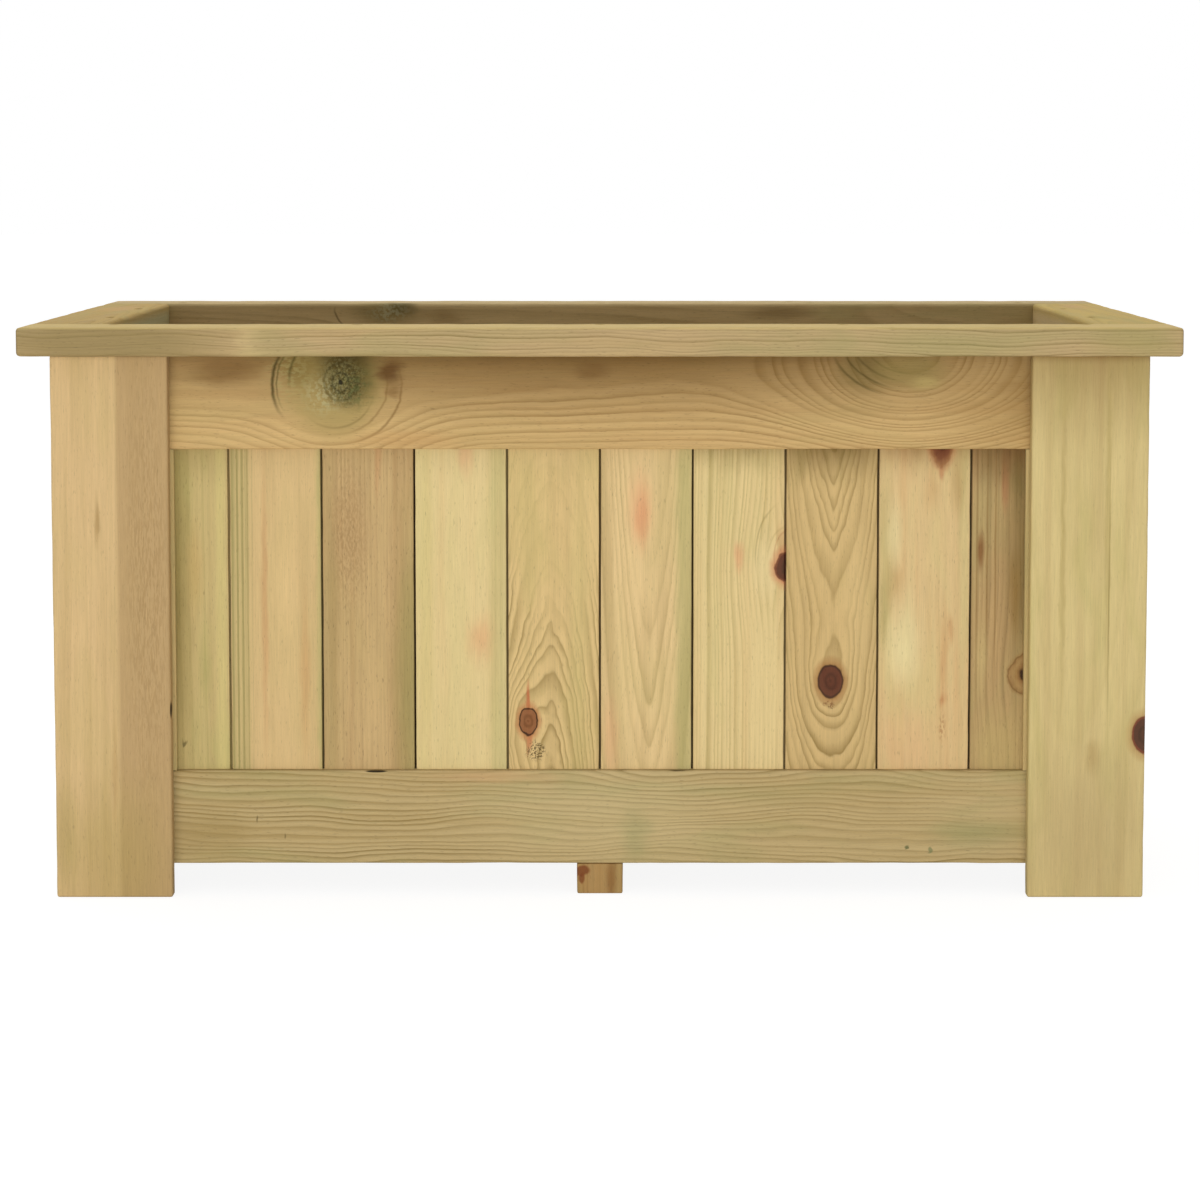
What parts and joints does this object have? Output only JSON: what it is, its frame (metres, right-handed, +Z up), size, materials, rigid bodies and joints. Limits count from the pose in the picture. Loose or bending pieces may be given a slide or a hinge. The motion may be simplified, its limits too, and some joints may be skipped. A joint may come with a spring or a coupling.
{
  "type": "planter box",
  "caption": "Rectangular wooden planter box with upright slat walls, L-shaped corner legs, a flat overhanging rim and a slatted floor.",
  "frame": {"origin": "under the middle of the box, at the ground it stands on", "axes": "+X along the length, to the right seen from the front; +Y from front to back; +Z up"},
  "size_m": [1.11, 0.6, 0.556],
  "materials": {
    "rim_boards": "planed, impregnated pine",
    "leg_boards": "planed, impregnated pine",
    "rails": "planed, impregnated pine",
    "slats": "planed, impregnated pine",
    "battens": "planed, impregnated pine",
    "floor": "planed, impregnated pine",
    "screws": "zinc-plated"
  },
  "bodies": {
    "root": {"front_rim_board": "rim_boards", "front_top_rail": "rails", "front_bottom_rail": "rails", "front_left_leg_face": "leg_boards", "front_right_leg_face": "leg_boards", "front_left_stile": "rails", "front_right_stile": "rails", "front_slat_1": "slats", "front_slat_2": "slats", "front_slat_3": "slats", "front_slat_4": "slats", "front_slat_5": "slats", "front_slat_6": "slats", "front_slat_7": "slats", "front_slat_8": "slats", "front_slat_9": "slats", "front_slat_10": "slats", "front_foot": "battens", "back_rim_board": "rim_boards", "back_top_rail": "rails", "back_bottom_rail": "rails", "back_right_leg_face": "leg_boards", "back_left_leg_face": "leg_boards", "back_right_stile": "rails", "back_left_stile": "rails", "back_slat_1": "slats", "back_slat_2": "slats", "back_slat_3": "slats", "back_slat_4": "slats", "back_slat_5": "slats", "back_slat_6": "slats", "back_slat_7": "slats", "back_slat_8": "slats", "back_slat_9": "slats", "back_slat_10": "slats", "back_foot": "battens", "left_rim_board": "rim_boards", "left_top_rail": "rails", "left_bottom_rail": "rails", "back_left_leg_side": "leg_boards", "front_left_leg_side": "leg_boards", "left_back_stile": "rails", "left_front_stile": "rails", "left_slats": "slats", "left_ledger": "battens", "right_rim_board": "rim_boards", "right_top_rail": "rails", "right_bottom_rail": "rails", "front_right_leg_side": "leg_boards", "back_right_leg_side": "leg_boards", "right_front_stile": "rails", "right_back_stile": "rails", "right_slats": "slats", "right_ledger": "battens", "centre_bearer": "battens", "floor_boards": "floor", "rim_and_foot_screws": "screws", "leg_screws": "screws", "frame_screws": "screws", "floor_screws": "screws"}
  },
  "joints": []
}
